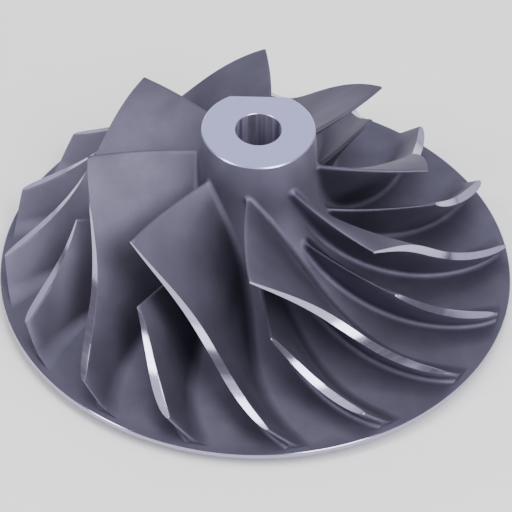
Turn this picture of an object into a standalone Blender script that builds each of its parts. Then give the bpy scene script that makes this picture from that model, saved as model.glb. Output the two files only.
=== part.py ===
# Turbocharger compressor wheel: a turned hub with its back disc, eight long blades and eight short ones.
# The real wheel is one casting. Here the body and each blade are solids of their own, so that the
# passages between the blades stay open, and each blade's root keeps a hairline gap to the hub.
import math

import bmesh
import bpy

# Driving dimensions in metres. The axis is Z, the inlet nose points up, and Z = 0 is the back boss face.
DISC_RADIUS = 0.0500
BORE_RADIUS = 0.00445
NOSE_RADIUS = 0.01096
TOTAL_HEIGHT = 0.0415
RIM_BOTTOM = 0.0022
RIM_TOP = 0.0033
BOSS_RADIUS = 0.0135
BOSS_STEP = 0.0009
BACK_LAND_RADIUS = 0.0455
EDGE_CHAMFER = 0.0004

# Balancing flat cut on the far side of the nose. The cutter reaches past the nose by CUTTER_SPARE.
FLAT_DISTANCE = 0.0092
FLAT_DEPTH = 0.0040
CUTTER_SPARE = 0.0020

# Meridional curves as (radius, height) control points of cubic curves, inlet first.
HUB_LINE = ((0.0114, 0.0339), (0.0109, 0.0139), (0.0219, 0.0052), (0.0486, 0.0033))
TIP_LINE = ((0.03286, 0.03246), (0.0327, 0.02437), (0.03394, 0.01311), (0.04901, 0.00912))

# Wrap angle of the blade along those curves in degrees: start, sweep and two shape terms.
HUB_WRAP = (35.2, 65.16, 0.83, 0.98)
TIP_WRAP = (43.04, 50.32, 0.438, 0.354)

BLADE_PAIRS = 8
SHORT_BLADE_TURN = 22.31
SHORT_START_HUB = 0.25
SHORT_START_TIP = 0.4814

# Blade thickness at the inlet edge, at mid chord and at the outlet edge. The end edges are narrowed.
HUB_THICKNESS = (0.0016, 0.0030, 0.0018)
TIP_THICKNESS = (0.00065, 0.00167, 0.0011)
EDGE_NARROWING = 0.45
ROOT_GAP = 0.0003

# How finely the curved surfaces are divided.
HUB_SEGMENTS = 80
HUB_LINE_STEPS = 18
BLADE_STEPS = 13
EDGE_STEP = 0.015
SPAN_STEPS = 4
TANGENT_STEP = 0.001

MERGE_DISTANCE = 0.00001
SMOOTH_ANGLE = 35.0
ALUMINIUM_COLOUR = (0.42, 0.42, 0.45, 1.0)
ALUMINIUM_ROUGHNESS = 0.42


def curve_point(line, u):
    """Point (radius, height) of a cubic curve at u."""
    a, b, c, d = line
    w = 1.0 - u
    weights = (w * w * w, 3.0 * w * w * u, 3.0 * w * u * u, u * u * u)
    radius = weights[0] * a[0] + weights[1] * b[0] + weights[2] * c[0] + weights[3] * d[0]
    height = weights[0] * a[1] + weights[1] * b[1] + weights[2] * c[1] + weights[3] * d[1]
    return radius, height


def wrap_angle(wrap, u):
    """Blade angle in degrees at u."""
    start, sweep, first, second = wrap
    shape = u + first * u * (1.0 - u) + second * u * (1.0 - u) * (1.0 - 2.0 * u)
    return start + sweep * shape


def blend(a, b, t):
    return a + (b - a) * t


def meridional(u, v):
    """Radius and height between the hub curve (v = 0) and the tip curve (v = 1)."""
    hub = curve_point(HUB_LINE, u)
    tip = curve_point(TIP_LINE, u)
    return blend(hub[0], tip[0], v), blend(hub[1], tip[1], v)


def camber_angle(u, v):
    return blend(wrap_angle(HUB_WRAP, u), wrap_angle(TIP_WRAP, u), v)


def along_chord(values, w):
    """Smooth value from three given at the chord's start, middle and end."""
    start, middle, end = values
    side = start if w < 0.5 else end
    return middle + (side - middle) * (2.0 * abs(w - 0.5)) ** 2


def blade_point(u, v, half):
    """Point of the blade surface, half a thickness off the camber surface along its stream surface."""
    low = max(0.0, u - TANGENT_STEP)
    high = min(1.0, u + TANGENT_STEP)
    r0, z0 = meridional(low, v)
    r1, z1 = meridional(high, v)
    radius, height = meridional(u, v)
    run = math.hypot(r1 - r0, z1 - z0)
    turn = radius * math.radians(camber_angle(high, v) - camber_angle(low, v))
    slant = math.atan2(turn, run)
    shift = -half * math.sin(slant)
    radius += shift * (r1 - r0) / run
    height += shift * (z1 - z0) / run
    angle = math.radians(camber_angle(u, v)) + half * math.cos(slant) / radius
    return radius * math.cos(angle), radius * math.sin(angle), height


def chord_stations():
    """Places along the chord from inlet to outlet edge, with a short step at each edge."""
    inner = [blend(EDGE_STEP, 1.0 - EDGE_STEP, i / (BLADE_STEPS - 2)) for i in range(BLADE_STEPS - 1)]
    return [0.0] + inner + [1.0]


def blade_mesh(name, start_hub, start_tip, material):
    """One closed blade: two lofted sides, tip, root and both end edges."""
    shape = bmesh.new()
    stations = chord_stations()
    sides = []
    for sign in (-1.0, 1.0):
        rows = []
        for w in stations:
            narrowing = EDGE_NARROWING if w in (0.0, 1.0) else 1.0
            row = []
            for j in range(SPAN_STEPS + 1):
                span = j / SPAN_STEPS
                u = blend(blend(start_hub, start_tip, span), 1.0, w)
                hub = curve_point(HUB_LINE, u)
                tip = curve_point(TIP_LINE, u)
                reach = math.hypot(tip[0] - hub[0], tip[1] - hub[1])
                v = blend(ROOT_GAP / reach, 1.0, span)
                thickness = blend(along_chord(HUB_THICKNESS, w), along_chord(TIP_THICKNESS, w), span)
                row.append(shape.verts.new(blade_point(u, v, 0.5 * sign * narrowing * thickness)))
            rows.append(row)
        sides.append(rows)
    left, right = sides
    last = len(stations) - 1
    for i in range(last):
        for j in range(SPAN_STEPS):
            shape.faces.new((left[i][j], left[i][j + 1], left[i + 1][j + 1], left[i + 1][j]))
            shape.faces.new((right[i][j], right[i + 1][j], right[i + 1][j + 1], right[i][j + 1]))
        shape.faces.new((left[i][-1], right[i][-1], right[i + 1][-1], left[i + 1][-1]))
        shape.faces.new((left[i][0], left[i + 1][0], right[i + 1][0], right[i][0]))
    for j in range(SPAN_STEPS):
        shape.faces.new((left[0][j], right[0][j], right[0][j + 1], left[0][j + 1]))
        shape.faces.new((left[last][j], left[last][j + 1], right[last][j + 1], right[last][j]))
    bmesh.ops.triangulate(shape, faces=shape.faces[:])
    bmesh.ops.recalc_face_normals(shape, faces=shape.faces[:])
    mesh = bpy.data.meshes.new(name)
    shape.to_mesh(mesh)
    shape.free()
    mesh.shade_smooth()
    mesh.set_sharp_from_angle(angle=math.radians(SMOOTH_ANGLE))
    mesh.materials.append(material)
    return mesh


def new_collection(name, hidden):
    collection = bpy.data.collections.new(name)
    collection.hide_render = hidden
    bpy.context.scene.collection.children.link(collection)
    return collection


def new_object(name, mesh, collection):
    obj = bpy.data.objects.new(name, mesh)
    collection.objects.link(obj)
    return obj


def make_material(name, colour, roughness, metallic):
    material = bpy.data.materials.new(name)
    material.use_nodes = True
    shader = material.node_tree.nodes["Principled BSDF"]
    shader.inputs["Base Color"].default_value = colour
    shader.inputs["Roughness"].default_value = roughness
    shader.inputs["Metallic"].default_value = metallic
    return material


def hub_profile():
    """Closed outline of the turned body, down the outside and up the bore."""
    points = [
        (BORE_RADIUS + EDGE_CHAMFER, TOTAL_HEIGHT),
        (NOSE_RADIUS - EDGE_CHAMFER, TOTAL_HEIGHT),
        (NOSE_RADIUS, TOTAL_HEIGHT - EDGE_CHAMFER),
    ]
    for i in range(HUB_LINE_STEPS + 1):
        points.append(curve_point(HUB_LINE, i / HUB_LINE_STEPS))
    points += [
        (DISC_RADIUS, RIM_TOP),
        (DISC_RADIUS, RIM_BOTTOM),
        (BACK_LAND_RADIUS, RIM_BOTTOM),
        (BOSS_RADIUS + BOSS_STEP, BOSS_STEP),
        (BOSS_RADIUS, 0.0),
        (BORE_RADIUS + EDGE_CHAMFER, 0.0),
        (BORE_RADIUS, EDGE_CHAMFER),
        (BORE_RADIUS, TOTAL_HEIGHT - EDGE_CHAMFER),
    ]
    return points


def make_hub(collection, material):
    points = hub_profile()
    mesh = bpy.data.meshes.new("hub_and_disc")
    edges = [(i, (i + 1) % len(points)) for i in range(len(points))]
    mesh.from_pydata([(r, 0.0, z) for r, z in points], edges, [])
    mesh.materials.append(material)
    hub = new_object("hub_and_disc", mesh, collection)
    screw = hub.modifiers.new("turned", "SCREW")
    screw.axis = "Z"
    screw.angle = math.tau
    screw.steps = HUB_SEGMENTS
    screw.render_steps = HUB_SEGMENTS
    screw.use_merge_vertices = True
    screw.merge_threshold = MERGE_DISTANCE
    screw.use_smooth_shade = True
    return hub


def make_flat_cutter(collection):
    """Block that cuts the balancing flat on the +Y side of the nose."""
    shape = bmesh.new()
    bmesh.ops.create_cube(shape, size=1.0)
    width = 2.0 * (NOSE_RADIUS + CUTTER_SPARE)
    depth = NOSE_RADIUS - FLAT_DISTANCE + CUTTER_SPARE
    height = FLAT_DEPTH + CUTTER_SPARE
    for vert in shape.verts:
        vert.co.x *= width
        vert.co.y = FLAT_DISTANCE + (vert.co.y + 0.5) * depth
        vert.co.z = TOTAL_HEIGHT - FLAT_DEPTH + (vert.co.z + 0.5) * height
    mesh = bpy.data.meshes.new("balance_flat")
    shape.to_mesh(mesh)
    shape.free()
    cutter = new_object("balance_flat", mesh, collection)
    cutter.display_type = "WIRE"
    cutter.hide_render = True
    return cutter


def cut_balance_flat(hub, cutter):
    modifier = hub.modifiers.new("balance_flat", "BOOLEAN")
    modifier.operation = "DIFFERENCE"
    modifier.solver = "EXACT"
    modifier.object = cutter


def make_blades(collection, hub, material):
    """Sixteen blades that share two meshes, each turned to its place and carried by the hub."""
    pitch = math.tau / BLADE_PAIRS
    kinds = (
        ("long_blade", blade_mesh("long_blade", 0.0, 0.0, material), 0.0),
        (
            "short_blade",
            blade_mesh("short_blade", SHORT_START_HUB, SHORT_START_TIP, material),
            math.radians(SHORT_BLADE_TURN),
        ),
    )
    for name, mesh, turn in kinds:
        for i in range(BLADE_PAIRS):
            blade = new_object(f"{name}_{i + 1}", mesh, collection)
            blade.rotation_euler.z = turn + i * pitch
            blade.parent = hub


def main():
    for obj in list(bpy.data.objects):
        bpy.data.objects.remove(obj)
    parts = new_collection("compressor_wheel", False)
    cutters = new_collection("cutters", True)
    aluminium = make_material("cast_aluminium", ALUMINIUM_COLOUR, ALUMINIUM_ROUGHNESS, 1.0)
    hub = make_hub(parts, aluminium)
    cut_balance_flat(hub, make_flat_cutter(cutters))
    make_blades(parts, hub, aluminium)


main()
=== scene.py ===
# Turbocharger compressor wheel: one aluminium casting with turned faces, shown on a pale floor.
import math

import bpy
from bpy.props import FloatProperty, FloatVectorProperty, IntProperty, PointerProperty
from mathutils import Matrix, Vector


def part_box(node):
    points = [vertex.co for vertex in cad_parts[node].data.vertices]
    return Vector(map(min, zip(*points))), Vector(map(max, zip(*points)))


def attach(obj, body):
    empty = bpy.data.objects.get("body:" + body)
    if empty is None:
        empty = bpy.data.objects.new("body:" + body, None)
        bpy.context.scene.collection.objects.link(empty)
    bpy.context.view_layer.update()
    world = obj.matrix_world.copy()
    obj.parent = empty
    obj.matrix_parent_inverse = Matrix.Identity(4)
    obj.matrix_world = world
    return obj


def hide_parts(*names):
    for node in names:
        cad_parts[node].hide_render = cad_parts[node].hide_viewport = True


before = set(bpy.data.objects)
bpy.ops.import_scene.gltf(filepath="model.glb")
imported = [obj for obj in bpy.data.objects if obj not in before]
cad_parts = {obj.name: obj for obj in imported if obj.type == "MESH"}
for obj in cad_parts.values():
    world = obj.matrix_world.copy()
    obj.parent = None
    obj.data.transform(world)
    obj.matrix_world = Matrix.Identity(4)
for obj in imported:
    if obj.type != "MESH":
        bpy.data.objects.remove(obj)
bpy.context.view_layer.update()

BODY_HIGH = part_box("hub_and_disc")[1]

bl_info = {
    "name": "Compressor Wheel",
    "version": (1, 0, 0),
    "blender": (4, 5, 0),
    "location": "View3D > Sidebar > Wheel",
    "description": "Builds a turbocharger compressor wheel on its packed frame",
    "category": "Object",
}

MM = 0.001

# Turned body, in millimetres from the axis and from the back boss face.
DISC_RADIUS = BODY_HIGH.x / MM
TOTAL_HEIGHT = BODY_HIGH.z / MM
BORE_RADIUS = 4.45
NOSE_RADIUS = 10.96
NECK_BULGE = (11.33, 37.5)
RIM_BOTTOM = 2.2
RIM_TOP = 3.3
BOSS_RADIUS = 13.5
BOSS_STEP = 0.9
BACK_LAND_RADIUS = 45.5
FLAT_DISTANCE = 9.2
FLAT_DEPTH = 4.0

# Block that saws the balancing flat: width, depth and height.
FLAT_CUTTER = (2.4 * NOSE_RADIUS, 6.0, FLAT_DEPTH + 4.0)

# Divisions of the straight and curved stretches of its outline.
NOSE_FACE_STEPS = 4
NECK_STEPS = 12
BACK_STEPS = 6
BORE_STEPS = 6

# The back's slope and the bore's wall start this far from their corners.
BACK_START = (BACK_LAND_RADIUS - 0.2, RIM_BOTTOM - 0.01)
BORE_START_DEPTH = 0.2

# How far in millimetres a finish reaches from the surface that it belongs to.
CLOSE = 0.02
BACK_REACH = 0.05
FLAT_REACH = 0.1
RIM_REACH = 0.25
NOSE_REACH = 0.45

# Meridional curves of the blades as (radius, height) control points, inlet first, in millimetres.
HUB_LINE = ((11.4, 33.9), (10.9, 13.9), (21.9, 5.2), (48.6, 3.3))
TIP_LINE = ((32.86, 32.46), (32.7, 24.37), (33.94, 13.11), (49.01, 9.12))

# Wrap angle along those curves in degrees: start, sweep and two shape terms.
HUB_WRAP = (35.2, 65.16, 0.83, 0.98)
TIP_WRAP = (43.04, 50.32, 0.438, 0.354)

BLADE_PAIRS = 8
SHORT_BLADE_TURN = 22.31
LONG_START = (0.0, 0.0)
SHORT_START = (0.25, 0.4814)

# Blade thickness in millimetres at equal steps from the inlet edge to the outlet edge.
ROOT_WIDTHS = (1.1, 1.95, 2.55, 2.88, 3.0, 2.93, 2.7, 2.33, 1.8)
LONG_STRIP_WIDTHS = (0.55, 1.04, 1.36, 1.57, 1.64, 1.6, 1.7, 1.6, 1.3)
SHORT_STRIP_WIDTHS = (0.7, 1.05, 1.25, 1.42, 1.52, 1.66, 1.8, 1.7, 1.3)

# Length of the rounded inlet edge, in halves of the thickness there.
NOSE_LENGTH = 1.8

# The outlet edge is rounded off over the last part of the chord, down to a share of the thickness.
OUTLET_TAPER = 0.07
OUTLET_SHARE = 0.4
OUTLET_PASSES = 4

# Rows of a blade that lie in the hub, in millimetres: height from its surface, below zero because
# they are under it, and reach to the side past the root fillet.
BURIED_ROWS = ((-0.6, 0.42), (-0.2, 0.38), (-0.035, 0.25))
FILLET_STEPS = 8
SIDE_STEPS = 16
LONG_CHORD_CELLS = 100
SHORT_CHORD_CELLS = 70
ACROSS_CELLS = 8
FIRST_SIDE_ROW = len(BURIED_ROWS) + FILLET_STEPS
BROKEN_EDGE_ROW = FIRST_SIDE_ROW - 2

# Centre (radius, height) and radius in millimetres of the curve that the tips are turned to.
TURNING_CENTRE = (49.0, 32.5)
TURNING_RADIUS = 20.0

# Camera, fitted to the circles of the disc and nose. The distance is in disc radii.
CAMERA_DISTANCE = 25.0
CAMERA_ELEVATION = 44.156
CAMERA_PITCH = 0.1814
CAMERA_YAW = 0.0022
CAMERA_ROLL = 1.2035
FOCAL_PIXELS = 6371.9
IMAGE_PIXELS = 512.0
SENSOR_WIDTH = 36.0
CLIP_START = 0.01
CLIP_END = 100.0

FLOOR_SIZE = 6.0
FLOOR_DROP = 0.0001

# All soft lights stand at one distance from the middle of the wheel and face it, in metres.
LIGHT_DISTANCE = 0.9
LIGHT_TARGET = Vector((0.0, 0.0, 0.015))
DAYLIGHT = (0.95, 0.96, 1.0)
COOL_LIGHT = (0.85, 0.88, 1.0)

# Name, azimuth, elevation, width and height, brightness of the panel, and colour.
SOFT_LIGHTS = (
    ("left_light", -152.0, 42.0, (0.16, 0.55), 12.0, DAYLIGHT),
    ("right_high_light", -55.0, 50.0, (0.35, 0.50), 10.5, DAYLIGHT),
    ("right_low_light", -38.0, 8.0, (0.38, 0.40), 10.0, DAYLIGHT),
    ("front_low_light", -116.0, 10.0, (0.40, 0.42), 3.7, DAYLIGHT),
    ("top_light", -90.0, 86.0, (0.30, 0.35), 8.0, DAYLIGHT),
    ("ceiling_light", -90.0, 80.0, (1.2, 0.8), 1.1, DAYLIGHT),
    ("back_wall_light", 90.0, 30.0, (2.6, 0.95), 0.9, COOL_LIGHT),
)

BLADE_SMOOTH_ANGLE = math.radians(32.0)
BODY_SMOOTH_ANGLE = math.radians(25.0)
MERGE_DISTANCE = 0.000002
STEP_TOLERANCE = 0.00001


def blend(a, b, t):
    """Value at t between a and b."""
    return a + (b - a) * t


# Blade law


def curve_point(line, u):
    """Point (radius, height) of a cubic curve at u."""
    a, b, c, d = line
    w = 1.0 - u
    weights = (w * w * w, 3.0 * w * w * u, 3.0 * w * u * u, u * u * u)
    radius = weights[0] * a[0] + weights[1] * b[0] + weights[2] * c[0] + weights[3] * d[0]
    height = weights[0] * a[1] + weights[1] * b[1] + weights[2] * c[1] + weights[3] * d[1]
    return radius, height


def curve_slope(line, u):
    """Change of radius and height per u."""
    a, b, c, d = line
    w = 1.0 - u
    first, middle, last = 3.0 * w * w, 6.0 * w * u, 3.0 * u * u
    radius = first * (b[0] - a[0]) + middle * (c[0] - b[0]) + last * (d[0] - c[0])
    height = first * (b[1] - a[1]) + middle * (c[1] - b[1]) + last * (d[1] - c[1])
    return radius, height


def wrap_angle(wrap, u):
    """Angle round the axis at u, in radians."""
    start, sweep, first, second = wrap
    shape = u + first * u * (1.0 - u) + second * u * (1.0 - u) * (1.0 - 2.0 * u)
    return math.radians(start + sweep * shape)


def wrap_slope(wrap, u):
    """Change of that angle per u."""
    start, sweep, first, second = wrap
    shape = 1.0 + first * (1.0 - 2.0 * u) + second * (1.0 - 6.0 * u + 6.0 * u * u)
    return math.radians(sweep * shape)


def meridional(u, v):
    """Radius and height between the hub curve (v = 0) and the tip curve (v = 1)."""
    hub = curve_point(HUB_LINE, u)
    tip = curve_point(TIP_LINE, u)
    return blend(hub[0], tip[0], v), blend(hub[1], tip[1], v)


def span_reach(u):
    """Distance from the hub curve to the tip curve at u."""
    hub = curve_point(HUB_LINE, u)
    tip = curve_point(TIP_LINE, u)
    return math.hypot(tip[0] - hub[0], tip[1] - hub[1])


def stream_run(u, v):
    """Length of the stream line per u, its meridional part, and its slant to the axial plane."""
    hub = curve_slope(HUB_LINE, u)
    tip = curve_slope(TIP_LINE, u)
    run = math.hypot(blend(hub[0], tip[0], v), blend(hub[1], tip[1], v))
    turn = meridional(u, v)[0] * blend(wrap_slope(HUB_WRAP, u), wrap_slope(TIP_WRAP, u), v)
    return math.hypot(run, turn), run, math.atan2(turn, run)


def stream_point(u, v, lateral):
    """Point at a distance to the side of the blade's middle surface, in the stream surface of v."""
    _, run, slant = stream_run(u, v)
    radius, height = meridional(u - lateral * math.sin(slant) / run, v)
    angle = blend(wrap_angle(HUB_WRAP, u), wrap_angle(TIP_WRAP, u), v)
    angle += lateral * math.cos(slant) / radius
    return Vector((radius * math.cos(angle), radius * math.sin(angle), height)) * MM


def outlet_u(v, lateral):
    """Where a line at a distance to the side meets the turned outlet diameter."""
    u = 1.0
    for _ in range(OUTLET_PASSES):
        _, run, slant = stream_run(u, v)
        u = 1.0 + lateral * math.sin(slant) / run
    return u


def width_at(widths, w):
    """Smooth width from values at equal steps."""
    last = len(widths) - 1
    place = min(max(w, 0.0), 1.0) * last
    i = min(int(place), last - 1)
    t = place - i
    before = widths[i - 1] if i > 0 else 2.0 * widths[0] - widths[1]
    after = widths[i + 2] if i + 2 <= last else 2.0 * widths[last] - widths[last - 1]
    a, b = widths[i], widths[i + 1]
    bend = (b - before) * t + (2.0 * before - 5.0 * a + 4.0 * b - after) * t * t
    bend += (3.0 * a - before - 3.0 * b + after) * t * t * t
    return a + 0.5 * bend


def outlet_rounding(w):
    """Share of the thickness that is left towards the outlet edge."""
    t = max(0.0, (w - 1.0 + OUTLET_TAPER) / OUTLET_TAPER)
    return math.sqrt(1.0 - (1.0 - OUTLET_SHARE**2) * t * t)


def blade_place(i, k, j, cells, start, strip_widths, fillets):
    """Point of a blade's skin from its place in the block: along the chord, across, up the span."""
    w = i / cells[0]
    side = 2.0 * k / cells[1] - 1.0
    u_root = blend(start[0], 1.0, w)
    fillet = blend(fillets[0], fillets[1], w)
    reach = span_reach(u_root)
    if j < len(BURIED_ROWS):
        sunk, spare = BURIED_ROWS[j]
        v, offset = sunk / reach, fillet + spare
    elif j <= FIRST_SIDE_ROW:
        turn = 0.5 * math.pi * (j - len(BURIED_ROWS)) / FILLET_STEPS
        v, offset = fillet * (1.0 - math.cos(turn)) / reach, fillet * (1.0 - math.sin(turn))
    else:
        v, offset = blend(fillet / reach, 1.0, (j - FIRST_SIDE_ROW) / SIDE_STEPS), 0.0
    height = max(v, 0.0)
    u_start = blend(start[0], start[1], height)
    width = blend(width_at(ROOT_WIDTHS, w), width_at(strip_widths, w), height)
    half = 0.5 * width * outlet_rounding(w)
    length = stream_run(u_start, v)[0]
    nose = NOSE_LENGTH * 0.5 * blend(ROOT_WIDTHS[0], strip_widths[0], height)
    u_first = u_start + nose / length
    if i == 0:
        turn = 0.5 * math.pi * side
        u = u_first - (nose + offset) * math.cos(turn) / length
        return stream_point(u, v, (half + offset) * math.sin(turn))
    lateral = side * (half + offset)
    return stream_point(blend(u_first, outlet_u(v, lateral), w), v, lateral)


# Modelling helpers


def deselect_all():
    """Leaves edit mode and selects nothing."""
    if bpy.context.object and bpy.context.object.mode != "OBJECT":
        bpy.ops.object.mode_set(mode="OBJECT")
    bpy.ops.object.select_all(action="DESELECT")


def pick_edges(obj, wanted):
    """Enters edit mode with just the edges selected that pass the test."""
    bpy.context.tool_settings.mesh_select_mode = (False, True, False)
    mesh = obj.data
    for face in mesh.polygons:
        face.select = False
    for vert in mesh.vertices:
        vert.select = False
    for edge in mesh.edges:
        edge.select = wanted(edge)
    bpy.ops.object.mode_set(mode="EDIT")


def face_outwards(obj):
    """Merges doubles and turns all normals outwards."""
    bpy.ops.object.mode_set(mode="EDIT")
    bpy.ops.mesh.select_all(action="SELECT")
    bpy.ops.mesh.remove_doubles(threshold=MERGE_DISTANCE)
    bpy.ops.mesh.normals_make_consistent(inside=False)
    bpy.ops.object.mode_set(mode="OBJECT")


def runs_along(mesh, edge, axis):
    """Whether an edge of the block lies along the axis."""
    step = mesh.vertices[edge.vertices[0]].co - mesh.vertices[edge.vertices[1]].co
    return all(abs(step[a]) < STEP_TOLERANCE for a in range(3) if a != axis)


def block_of_cells(name, cells):
    """A unit cube divided into cells, so that each vertex's place gives its row in the blade."""
    deselect_all()
    bpy.ops.mesh.primitive_cube_add(size=1.0, location=(0.5, 0.5, 0.5))
    obj = bpy.context.object
    obj.name = name
    bpy.ops.object.transform_apply(location=True, rotation=True, scale=True)
    for axis, count in enumerate(cells):
        pick_edges(obj, lambda edge: runs_along(obj.data, edge, axis))
        bpy.ops.mesh.subdivide(number_cuts=count - 1)
        bpy.ops.object.mode_set(mode="OBJECT")
    return obj


def block_rows(obj, cells):
    """Each vertex's whole-number place in the block."""
    return [tuple(round(c * n) for c, n in zip(v.co, cells)) for v in obj.data.vertices]


def settle(obj, node):
    """Hands the finished piece to the frame in place of its solid."""
    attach(obj, "root")
    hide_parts(node)


# Materials


def new_material(name, colour, roughness, metallic=1.0):
    """A material, its node tree and its shader."""
    material = bpy.data.materials.new(name)
    material.use_nodes = True
    shader = material.node_tree.nodes["Principled BSDF"]
    shader.inputs["Base Color"].default_value = (*colour, 1.0)
    shader.inputs["Roughness"].default_value = roughness
    shader.inputs["Metallic"].default_value = metallic
    return material, material.node_tree, shader


def add_node(tree, kind, **values):
    """A node with some of its own settings changed."""
    node = tree.nodes.new(kind)
    for name, value in values.items():
        setattr(node, name, value)
    return node


def math_node(tree, operation, a, b=None):
    """Result of a sum, whose terms are numbers or sockets."""
    node = add_node(tree, "ShaderNodeMath", operation=operation)
    for socket, value in zip(node.inputs, (a, b)):
        if value is None:
            continue
        if isinstance(value, bpy.types.NodeSocket):
            tree.links.new(value, socket)
        else:
            socket.default_value = value
    return node.outputs[0]


def object_position(tree):
    """Place on the piece, in metres."""
    return tree.nodes.new("ShaderNodeTexCoord").outputs["Object"]


def radius_and_height(tree):
    """Distance from the axis and height, in millimetres."""
    split = tree.nodes.new("ShaderNodeSeparateXYZ")
    tree.links.new(object_position(tree), split.inputs[0])
    x = math_node(tree, "MULTIPLY", split.outputs[0], split.outputs[0])
    y = math_node(tree, "MULTIPLY", split.outputs[1], split.outputs[1])
    radius = math_node(tree, "SQRT", math_node(tree, "ADD", x, y))
    return math_node(tree, "DIVIDE", radius, MM), math_node(tree, "DIVIDE", split.outputs[2], MM)


def noise_at(tree, vector, size_mm, detail, roughness=0.5):
    """Cloudy noise with features of about the given size."""
    noise = tree.nodes.new("ShaderNodeTexNoise")
    noise.inputs["Scale"].default_value = 1.0 / (size_mm * MM)
    noise.inputs["Detail"].default_value = detail
    noise.inputs["Roughness"].default_value = roughness
    tree.links.new(vector, noise.inputs["Vector"])
    return noise.outputs["Fac"]


def marks_along(tree, coordinate_mm, size_mm, detail):
    """Lines left by a turning tool: noise along one coordinate."""
    noise = add_node(tree, "ShaderNodeTexNoise", noise_dimensions="1D")
    noise.inputs["Scale"].default_value = 1.0 / size_mm
    noise.inputs["Detail"].default_value = detail
    noise.inputs["Roughness"].default_value = 0.6
    tree.links.new(coordinate_mm, noise.inputs["W"])
    return noise.outputs["Fac"]


def remap(tree, value, low, high, span=(0.3, 0.7)):
    """Spreads a noise value over a range."""
    node = tree.nodes.new("ShaderNodeMapRange")
    node.inputs["From Min"].default_value = span[0]
    node.inputs["From Max"].default_value = span[1]
    node.inputs["To Min"].default_value = low
    node.inputs["To Max"].default_value = high
    tree.links.new(value, node.inputs["Value"])
    return node.outputs["Result"]


def shade_between(tree, value, dark, light, span=(0.3, 0.7)):
    """Colour between a dark and a light one, by a noise value."""
    ramp = tree.nodes.new("ShaderNodeValToRGB")
    ramp.color_ramp.elements[0].position = span[0]
    ramp.color_ramp.elements[1].position = span[1]
    ramp.color_ramp.elements[0].color = (*dark, 1.0)
    ramp.color_ramp.elements[1].color = (*light, 1.0)
    tree.links.new(value, ramp.inputs["Fac"])
    return ramp.outputs["Color"]


def add_bump(tree, height, depth_mm, strength, below=None):
    """Normal bent by a height, over another bump if one is given."""
    bump = tree.nodes.new("ShaderNodeBump")
    bump.inputs["Strength"].default_value = strength
    bump.inputs["Distance"].default_value = depth_mm * MM
    tree.links.new(height, bump.inputs["Height"])
    if below:
        tree.links.new(below, bump.inputs["Normal"])
    return bump.outputs["Normal"]


def scaled(colour, factor):
    """A lighter or darker colour."""
    return tuple(min(1.0, c * factor) for c in colour)


def vary_tone(tree, shader, value, colour, spread):
    """Lets the colour wander by a share to both sides."""
    tone = shade_between(tree, value, scaled(colour, 1.0 - spread), scaled(colour, 1.0 + spread))
    tree.links.new(tone, shader.inputs["Base Color"])


def vary_roughness(tree, shader, value, roughness, spread):
    """Lets the roughness wander to both sides."""
    rough = remap(tree, value, roughness - spread, roughness + spread)
    tree.links.new(rough, shader.inputs["Roughness"])


def cast_metal(finish):
    """Blasted cast skin: fine grain, faint pits and a slow change of tone."""
    material, tree, shader = new_material("cast_skin", finish.cast_colour, finish.cast_roughness)
    place = object_position(tree)
    cloud = noise_at(tree, place, size_mm=8.0, detail=3.0)
    vary_tone(tree, shader, cloud, finish.cast_colour, spread=0.14)
    grain = noise_at(tree, place, size_mm=0.22, detail=3.0, roughness=0.65)
    vary_roughness(tree, shader, grain, finish.cast_roughness, spread=0.05)
    skin = noise_at(tree, place, size_mm=1.1, detail=2.0)
    soft = add_bump(tree, skin, depth_mm=0.05, strength=finish.grain_depth)
    fine = add_bump(tree, grain, depth_mm=0.02, strength=finish.grain_depth, below=soft)
    tree.links.new(fine, shader.inputs["Normal"])
    return material


def strip_metal(finish):
    """Turned tips, rim and back: fine lines round the axis, bright between them."""
    material, tree, shader = new_material("turned_tips", finish.strip_colour, finish.strip_roughness)
    radius, height = radius_and_height(tree)
    across = math_node(tree, "SUBTRACT", TURNING_CENTRE[0], radius)
    down = math_node(tree, "SUBTRACT", TURNING_CENTRE[1], height)
    swing = math_node(tree, "ARCTAN2", down, across)
    along = math_node(tree, "MULTIPLY", swing, TURNING_RADIUS)
    fine = marks_along(tree, along, size_mm=0.12, detail=2.0)
    broad = marks_along(tree, along, size_mm=0.9, detail=2.0)
    vary_tone(tree, shader, broad, finish.strip_colour, spread=0.04)
    vary_roughness(tree, shader, broad, finish.strip_roughness, spread=0.03)
    tree.links.new(add_bump(tree, fine, depth_mm=0.002, strength=0.5), shader.inputs["Normal"])
    return material


def turned_metal(finish):
    """Faced and turned surfaces of the nose, with fine rings."""
    material, tree, shader = new_material("turned_faces", finish.turned_colour, finish.turned_roughness)
    radius, height = radius_and_height(tree)
    along = math_node(tree, "ADD", radius, height)
    fine = marks_along(tree, along, size_mm=0.09, detail=2.0)
    broad = marks_along(tree, along, size_mm=0.6, detail=3.0)
    vary_tone(tree, shader, broad, finish.turned_colour, spread=0.015)
    vary_roughness(tree, shader, broad, finish.turned_roughness, spread=0.02)
    tree.links.new(add_bump(tree, fine, depth_mm=0.0012, strength=0.4), shader.inputs["Normal"])
    return material


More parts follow.
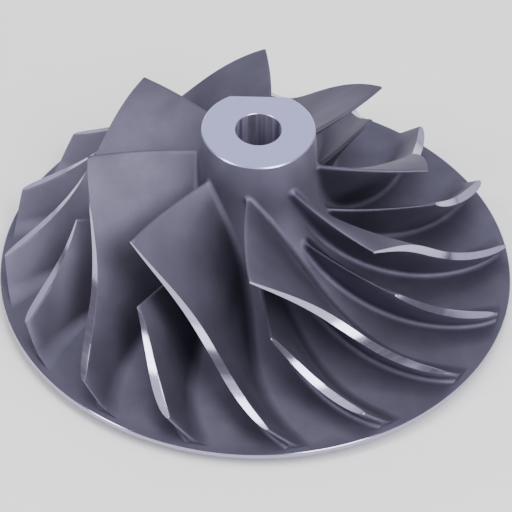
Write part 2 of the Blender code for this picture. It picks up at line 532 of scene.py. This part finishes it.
def bore_metal(finish):
    """Reamed bore: smooth, with broad streaks along the axis in roughness and bumps; their light and dark
    bands in the colour are painted reflection of the soft lights.
    """
    colour = finish.bore_colour
    material, tree, shader = new_material("reamed_bore", colour, roughness=0.3, metallic=0.8)
    stretch = tree.nodes.new("ShaderNodeMapping")
    stretch.inputs["Scale"].default_value = (1.0, 1.0, 0.03)
    tree.links.new(object_position(tree), stretch.inputs["Vector"])
    streak_and_sheen = noise_at(tree, stretch.outputs["Vector"], size_mm=1.3, detail=2.0)
    # Painted reflection: the streaks' light and dark bands in the colour stand for the soft lights' bands
    # on the bore wall.
    tone = shade_between(tree, streak_and_sheen, scaled(colour, 0.55), scaled(colour, 1.35), span=(0.4, 0.6))
    tree.links.new(tone, shader.inputs["Base Color"])
    tree.links.new(remap(tree, streak_and_sheen, low=0.14, high=0.3), shader.inputs["Roughness"])
    tree.links.new(add_bump(tree, streak_and_sheen, depth_mm=0.01, strength=0.3), shader.inputs["Normal"])
    return material


def wheel_materials(finish):
    """The wheel's four finishes, made once: cast skin, turned tips, turned faces and bore."""
    names = ("cast_skin", "turned_tips", "turned_faces", "reamed_bore")
    if names[0] not in bpy.data.materials:
        cast_metal(finish)
        strip_metal(finish)
        turned_metal(finish)
        bore_metal(finish)
    return [bpy.data.materials[name] for name in names]


CAST, TIPS, TURNED, BORE = range(4)


# Turned body


def straight(a, b, steps):
    """Points from a up to but without b."""
    return [(blend(a[0], b[0], i / steps), blend(a[1], b[1], i / steps)) for i in range(steps)]


def through_three(start, middle, end, t):
    """Point at t of the even curve through three points."""
    weights = ((1.0 - t) * (1.0 - 2.0 * t), 4.0 * t * (1.0 - t), t * (2.0 * t - 1.0))
    return tuple(sum(w * p[n] for w, p in zip(weights, (start, middle, end))) for n in (0, 1))


def body_profile(sizes):
    """Closed outline of the turned body: nose face, neck, hub line, rim, back and bore."""
    cut = sizes.nose_chamfer / MM
    ream = sizes.bore_chamfer / MM
    lip = sizes.rim_chamfer / MM
    top = TOTAL_HEIGHT
    points = straight((BORE_RADIUS + ream, top), (NOSE_RADIUS - cut, top), NOSE_FACE_STEPS)
    points += [(NOSE_RADIUS - cut, top)]
    neck = ((NOSE_RADIUS, top - cut), NECK_BULGE, HUB_LINE[0])
    points += [through_three(*neck, i / NECK_STEPS) for i in range(NECK_STEPS + 1)]
    steps = sizes.hub_line_steps
    points += [curve_point(HUB_LINE, i / steps) for i in range(1, steps + 1)]
    points += [(DISC_RADIUS - lip, RIM_TOP), (DISC_RADIUS, RIM_TOP - lip)]
    points += [(DISC_RADIUS, RIM_BOTTOM + lip), (DISC_RADIUS - lip, RIM_BOTTOM)]
    points += [(BACK_LAND_RADIUS, RIM_BOTTOM)]
    points += straight(BACK_START, (BOSS_RADIUS + BOSS_STEP, BOSS_STEP), BACK_STEPS)
    points += [(BOSS_RADIUS + BOSS_STEP, BOSS_STEP), (BOSS_RADIUS, 0.0)]
    points += [(BORE_RADIUS + ream, 0.0), (BORE_RADIUS, ream)]
    points += straight((BORE_RADIUS, ream + BORE_START_DEPTH), (BORE_RADIUS, top - ream), BORE_STEPS)
    points += [(BORE_RADIUS, top - ream)]
    return points


def cut_balance_flat(obj):
    """Saws the flat off the far side of the nose."""
    deselect_all()
    width, depth, height = FLAT_CUTTER
    centre = (0.0, FLAT_DISTANCE + 0.5 * depth, TOTAL_HEIGHT - FLAT_DEPTH + 0.5 * height)
    bpy.ops.mesh.primitive_cube_add(size=1.0, location=Vector(centre) * MM)
    cutter = bpy.context.object
    cutter.scale = Vector((width, depth, height)) * MM
    bpy.ops.object.transform_apply(location=True, rotation=True, scale=True)
    deselect_all()
    bpy.context.view_layer.objects.active = obj
    obj.select_set(True)
    cut = obj.modifiers.new("balance_flat", "BOOLEAN")
    cut.operation = "DIFFERENCE"
    cut.solver = "EXACT"
    cut.object = cutter
    bpy.ops.object.modifier_apply(modifier=cut.name)
    bpy.data.objects.remove(cutter)


def body_finish(face):
    """Which finish a face of the turned body has, from its place and direction."""
    centre = face.center / MM
    radius = math.hypot(centre.x, centre.y)
    if radius < BORE_RADIUS + CLOSE:
        return BORE
    on_flat = centre.y > FLAT_DISTANCE - CLOSE and centre.z > TOTAL_HEIGHT - FLAT_DEPTH - FLAT_REACH
    if centre.z > TOTAL_HEIGHT - NOSE_REACH or on_flat:
        return TURNED
    underneath = face.normal.z < -0.5 and centre.z < RIM_BOTTOM + BACK_REACH
    if radius > DISC_RADIUS - RIM_REACH or underneath or centre.z < BOSS_STEP + BACK_REACH:
        return TIPS
    return CAST


class WHEEL_OT_turned_body(bpy.types.Operator):
    """Spins the hub, disc and bore from one outline and saws the balancing flat"""

    bl_idname = "wheel.turned_body"
    bl_label = "Turned Body"

    def execute(self, context):
        sizes = context.scene.wheel_sizes
        points = body_profile(sizes)
        deselect_all()
        bpy.ops.mesh.primitive_circle_add(vertices=len(points), radius=1.0, location=(0.0, 0.0, 0.0))
        obj = context.object
        obj.name = "cast_body"
        for vert, (radius, height) in zip(obj.data.vertices, points):
            vert.co = Vector((radius, 0.0, height)) * MM
        bpy.ops.object.mode_set(mode="EDIT")
        bpy.ops.mesh.select_all(action="SELECT")
        bpy.ops.mesh.spin(
            steps=sizes.turned_steps, angle=math.tau, center=(0.0, 0.0, 0.0), axis=(0.0, 0.0, 1.0)
        )
        bpy.ops.object.mode_set(mode="OBJECT")
        face_outwards(obj)
        cut_balance_flat(obj)
        for material in wheel_materials(context.scene.wheel_finish):
            obj.data.materials.append(material)
        for face in obj.data.polygons:
            face.material_index = body_finish(face)
        bpy.ops.object.shade_smooth_by_angle(angle=BODY_SMOOTH_ANGLE)
        settle(obj, "hub_and_disc")
        return {"FINISHED"}


# Blades


def make_blade(name, chord_cells, start, strip_widths, context):
    """One blade: a divided block laid on the blade law, its turned edges broken."""
    sizes = context.scene.wheel_sizes
    cells = (chord_cells, ACROSS_CELLS, FIRST_SIDE_ROW + SIDE_STEPS)
    fillets = (sizes.fillet_inlet / MM, sizes.fillet_outlet / MM)
    obj = block_of_cells(name, cells)
    rows = block_rows(obj, cells)
    mesh = obj.data
    for material in wheel_materials(context.scene.wheel_finish):
        mesh.materials.append(material)
    for face in mesh.polygons:
        at_tip = all(rows[n][2] == cells[2] for n in face.vertices)
        face.material_index = TIPS if at_tip else CAST
    for vert, (i, k, j) in zip(mesh.vertices, rows):
        vert.co = blade_place(i, k, j, cells, start, strip_widths, fillets)

    def turned_edge(edge):
        a, b = (rows[n] for n in edge.vertices)
        on_a_side = a[1] == b[1] and a[1] in (0, cells[1])
        at_tip = a[2] == b[2] == cells[2]
        at_outlet = a[0] == b[0] == cells[0]
        at_inlet = a[0] == b[0] == 0
        if at_tip and (on_a_side or at_outlet or at_inlet):
            return True
        return at_outlet and on_a_side and min(a[2], b[2]) >= BROKEN_EDGE_ROW

    pick_edges(obj, turned_edge)
    bpy.ops.mesh.bevel(
        offset=sizes.edge_break, offset_type="OFFSET", segments=1, affect="EDGES", clamp_overlap=True
    )
    bpy.ops.object.mode_set(mode="OBJECT")
    face_outwards(obj)
    bpy.ops.object.shade_smooth_by_angle(angle=BLADE_SMOOTH_ANGLE)
    return obj


def ring_of_blades(first, turn, piece_name, node_name):
    """Turns the first blade to its place and copies it round the wheel."""
    blades = [first]
    for _ in range(BLADE_PAIRS - 1):
        deselect_all()
        first.select_set(True)
        bpy.context.view_layer.objects.active = first
        bpy.ops.object.duplicate(linked=False)
        blades.append(bpy.context.object)
    for n, blade in enumerate(blades):
        deselect_all()
        blade.select_set(True)
        bpy.context.view_layer.objects.active = blade
        blade.name = f"{piece_name}_{n + 1}"
        blade.data.name = blade.name
        blade.rotation_euler.z = turn + n * math.tau / BLADE_PAIRS
        bpy.ops.object.transform_apply(location=True, rotation=True, scale=True)
        settle(blade, f"{node_name}_{n + 1}")


class WHEEL_OT_long_blades(bpy.types.Operator):
    """Shapes one long blade and copies it round the wheel"""

    bl_idname = "wheel.long_blades"
    bl_label = "Long Blades"

    def execute(self, context):
        name = "cast_long_blade_1"
        first = make_blade(name, LONG_CHORD_CELLS, LONG_START, LONG_STRIP_WIDTHS, context)
        ring_of_blades(first, 0.0, "cast_long_blade", "long_blade")
        return {"FINISHED"}


class WHEEL_OT_short_blades(bpy.types.Operator):
    """Shapes one short blade and copies it round the wheel"""

    bl_idname = "wheel.short_blades"
    bl_label = "Short Blades"

    def execute(self, context):
        name = "cast_short_blade_1"
        first = make_blade(name, SHORT_CHORD_CELLS, SHORT_START, SHORT_STRIP_WIDTHS, context)
        ring_of_blades(first, math.radians(SHORT_BLADE_TURN), "cast_short_blade", "short_blade")
        return {"FINISHED"}


# Studio


def add_floor(studio):
    """A pale floor just under the back boss."""
    deselect_all()
    bpy.ops.mesh.primitive_plane_add(size=FLOOR_SIZE, location=(0.0, 0.0, -FLOOR_DROP))
    floor = bpy.context.object
    floor.name = "floor"
    material, tree, shader = new_material("pale_floor", studio.floor_colour, roughness=0.75, metallic=0.0)
    cloud = noise_at(tree, object_position(tree), size_mm=60.0, detail=2.0)
    tone = shade_between(tree, cloud, scaled(studio.floor_colour, 0.985), studio.floor_colour)
    tree.links.new(tone, shader.inputs["Base Color"])
    shader.inputs["Specular IOR Level"].default_value = 0.1
    floor.data.materials.append(material)


def add_soft_light(name, azimuth, elevation, size, brightness, colour):
    """A soft light that faces the wheel and stays unseen. Azimuth -90 is the camera's side."""
    turn, rise = math.radians(azimuth), math.radians(elevation)
    away = Vector((math.cos(turn) * math.cos(rise), math.sin(turn) * math.cos(rise), math.sin(rise)))
    place = away * LIGHT_DISTANCE + LIGHT_TARGET
    bpy.ops.object.light_add(type="AREA", location=place)
    lamp = bpy.context.object
    lamp.name = name
    lamp.data.shape = "RECTANGLE"
    lamp.data.size, lamp.data.size_y = size
    lamp.data.energy = brightness * math.pi * size[0] * size[1]
    lamp.data.color = colour
    lamp.visible_camera = False
    aim = LIGHT_TARGET - place
    lamp.rotation_euler = aim.to_track_quat("-Z", "Y").to_euler()


def add_world(studio):
    """Faint even light from all round."""
    world = bpy.data.worlds.new("studio")
    world.use_nodes = True
    background = world.node_tree.nodes["Background"]
    background.inputs["Color"].default_value = (*studio.sky_colour, 1.0)
    background.inputs["Strength"].default_value = studio.sky_strength
    bpy.context.scene.world = world


def add_camera():
    """Camera at the angle from which the circles of the disc and nose look as measured."""
    rise = math.radians(CAMERA_ELEVATION)
    place = Vector((0.0, -math.cos(rise), math.sin(rise))) * CAMERA_DISTANCE
    ahead = -place.normalized()
    right = ahead.cross(Vector((0.0, 0.0, 1.0))).normalized()
    up = right.cross(ahead)
    yaw, pitch, roll = (math.radians(a) for a in (CAMERA_YAW, CAMERA_PITCH, CAMERA_ROLL))
    ahead_yawed = ahead * math.cos(yaw) + right * math.sin(yaw)
    right_yawed = right * math.cos(yaw) - ahead * math.sin(yaw)
    ahead_pitched = ahead_yawed * math.cos(pitch) + up * math.sin(pitch)
    up_pitched = up * math.cos(pitch) - ahead_yawed * math.sin(pitch)
    right_rolled = right_yawed * math.cos(roll) + up_pitched * math.sin(roll)
    up_rolled = up_pitched * math.cos(roll) - right_yawed * math.sin(roll)
    turn = Matrix((right_rolled, up_rolled, -ahead_pitched)).transposed()
    origin = place * DISC_RADIUS * MM + Vector((0.0, 0.0, RIM_BOTTOM * MM))
    bpy.ops.object.camera_add(location=origin, rotation=turn.to_euler())
    camera = bpy.context.object
    camera.data.sensor_fit = "HORIZONTAL"
    camera.data.sensor_width = SENSOR_WIDTH
    camera.data.lens = FOCAL_PIXELS / IMAGE_PIXELS * SENSOR_WIDTH
    camera.data.clip_start = CLIP_START
    camera.data.clip_end = CLIP_END
    bpy.context.scene.camera = camera


class WHEEL_OT_studio(bpy.types.Operator):
    """Adds the floor, the soft lights and the camera"""

    bl_idname = "wheel.studio"
    bl_label = "Studio"

    def execute(self, context):
        studio = context.scene.wheel_studio
        add_floor(studio)
        add_world(studio)
        for name, azimuth, elevation, size, brightness, colour in SOFT_LIGHTS:
            add_soft_light(name, azimuth, elevation, size, brightness * studio.light_level, colour)
        add_camera()
        return {"FINISHED"}


class WheelSizes(bpy.types.PropertyGroup):
    """Sizes that change the look of the wheel"""

    fillet_inlet: FloatProperty(
        name="Inlet Fillet", description="Root fillet radius at the blade's inlet edge",
        default=0.0010, min=0.0003, max=0.002, precision=5, unit="LENGTH",
    )
    fillet_outlet: FloatProperty(
        name="Outlet Fillet", description="Root fillet radius at the blade's outlet edge",
        default=0.0018, min=0.0003, max=0.002, precision=5, unit="LENGTH",
    )
    edge_break: FloatProperty(
        name="Edge Break", description="Broken edge along the turned tips",
        default=0.00007, min=0.0, max=0.0001, precision=6, unit="LENGTH",
    )
    nose_chamfer: FloatProperty(
        name="Nose Chamfer", description="Chamfer round the nose face",
        default=0.0002, min=0.0001, max=0.0008, precision=5, unit="LENGTH",
    )
    bore_chamfer: FloatProperty(
        name="Bore Chamfer", description="Broken edge at both ends of the bore",
        default=0.0001, min=0.00005, max=0.0008, precision=6, unit="LENGTH",
    )
    rim_chamfer: FloatProperty(
        name="Rim Chamfer", description="Chamfer of both edges of the rim",
        default=0.00012, min=0.00005, max=0.0003, precision=6, unit="LENGTH",
    )
    hub_line_steps: IntProperty(
        name="Hub Line Steps", description="Divisions of the curve from neck to rim",
        default=64, min=16, max=96,
    )
    turned_steps: IntProperty(
        name="Turned Steps", description="Divisions round the axis",
        default=512, min=96, max=720,
    )


class WheelFinish(bpy.types.PropertyGroup):
    """Colours and roughness of the wheel's finishes"""

    cast_colour: FloatVectorProperty(
        name="Cast Colour", description="Colour of the cast skin", subtype="COLOR", size=3,
        default=(0.141, 0.132, 0.183), min=0.0, max=1.0,
    )
    cast_roughness: FloatProperty(
        name="Cast Roughness", description="Roughness of the cast skin",
        default=0.62, min=0.1, max=1.0,
    )
    grain_depth: FloatProperty(
        name="Grain Depth", description="Strength of the cast grain",
        default=0.35, min=0.0, max=1.0,
    )
    strip_colour: FloatVectorProperty(
        name="Tip Colour", description="Colour of the turned tips, rim and back", subtype="COLOR", size=3,
        default=(0.39, 0.37, 0.51), min=0.0, max=1.0,
    )
    strip_roughness: FloatProperty(
        name="Tip Roughness", description="Roughness of the turned tips, rim and back",
        default=0.17, min=0.1, max=1.0,
    )
    turned_colour: FloatVectorProperty(
        name="Turned Colour", description="Colour of the turned nose", subtype="COLOR", size=3,
        default=(0.56, 0.545, 0.87), min=0.0, max=1.0,
    )
    turned_roughness: FloatProperty(
        name="Turned Roughness", description="Roughness of the turned nose",
        default=0.3, min=0.1, max=1.0,
    )
    bore_colour: FloatVectorProperty(
        name="Bore Colour", description="Colour of the reamed bore", subtype="COLOR", size=3,
        default=(0.52, 0.49, 0.64), min=0.0, max=1.0,
    )


class WheelStudio(bpy.types.PropertyGroup):
    """Floor and light"""

    floor_colour: FloatVectorProperty(
        name="Floor Colour", description="Colour of the floor", subtype="COLOR", size=3,
        default=(0.95, 0.945, 0.93), min=0.0, max=1.0,
    )
    sky_colour: FloatVectorProperty(
        name="Sky Colour", description="Colour of the light from all round", subtype="COLOR", size=3,
        default=(1.0, 0.95, 1.0), min=0.0, max=1.0,
    )
    sky_strength: FloatProperty(
        name="Sky Strength", description="Strength of the light from all round",
        default=0.32, min=0.0, max=10.0,
    )
    light_level: FloatProperty(
        name="Light Level", description="Level of all the soft lights together",
        default=1.0, min=0.0, max=10.0,
    )


class WHEEL_PT_panel(bpy.types.Panel):
    """Lists the steps that build the wheel"""

    bl_idname = "WHEEL_PT_panel"
    bl_label = "Compressor Wheel"
    bl_space_type = "VIEW_3D"
    bl_region_type = "UI"
    bl_category = "Wheel"

    def draw(self, context):
        layout = self.layout
        for operator in OPERATORS:
            layout.operator(operator.bl_idname)
        scene = context.scene
        for group in (scene.wheel_sizes, scene.wheel_finish, scene.wheel_studio):
            box = layout.box()
            for name in group.__annotations__:
                box.prop(group, name)


OPERATORS = (WHEEL_OT_turned_body, WHEEL_OT_long_blades, WHEEL_OT_short_blades, WHEEL_OT_studio)
CLASSES = (WheelSizes, WheelFinish, WheelStudio, *OPERATORS, WHEEL_PT_panel)


def register():
    for cls in CLASSES:
        bpy.utils.register_class(cls)
    bpy.types.Scene.wheel_sizes = PointerProperty(type=WheelSizes)
    bpy.types.Scene.wheel_finish = PointerProperty(type=WheelFinish)
    bpy.types.Scene.wheel_studio = PointerProperty(type=WheelStudio)


def unregister():
    del bpy.types.Scene.wheel_studio
    del bpy.types.Scene.wheel_finish
    del bpy.types.Scene.wheel_sizes
    for cls in reversed(CLASSES):
        bpy.utils.unregister_class(cls)


def main():
    register()
    bpy.ops.wheel.turned_body()
    bpy.ops.wheel.long_blades()
    bpy.ops.wheel.short_blades()
    bpy.ops.wheel.studio()


if __name__ == "__main__":
    main()
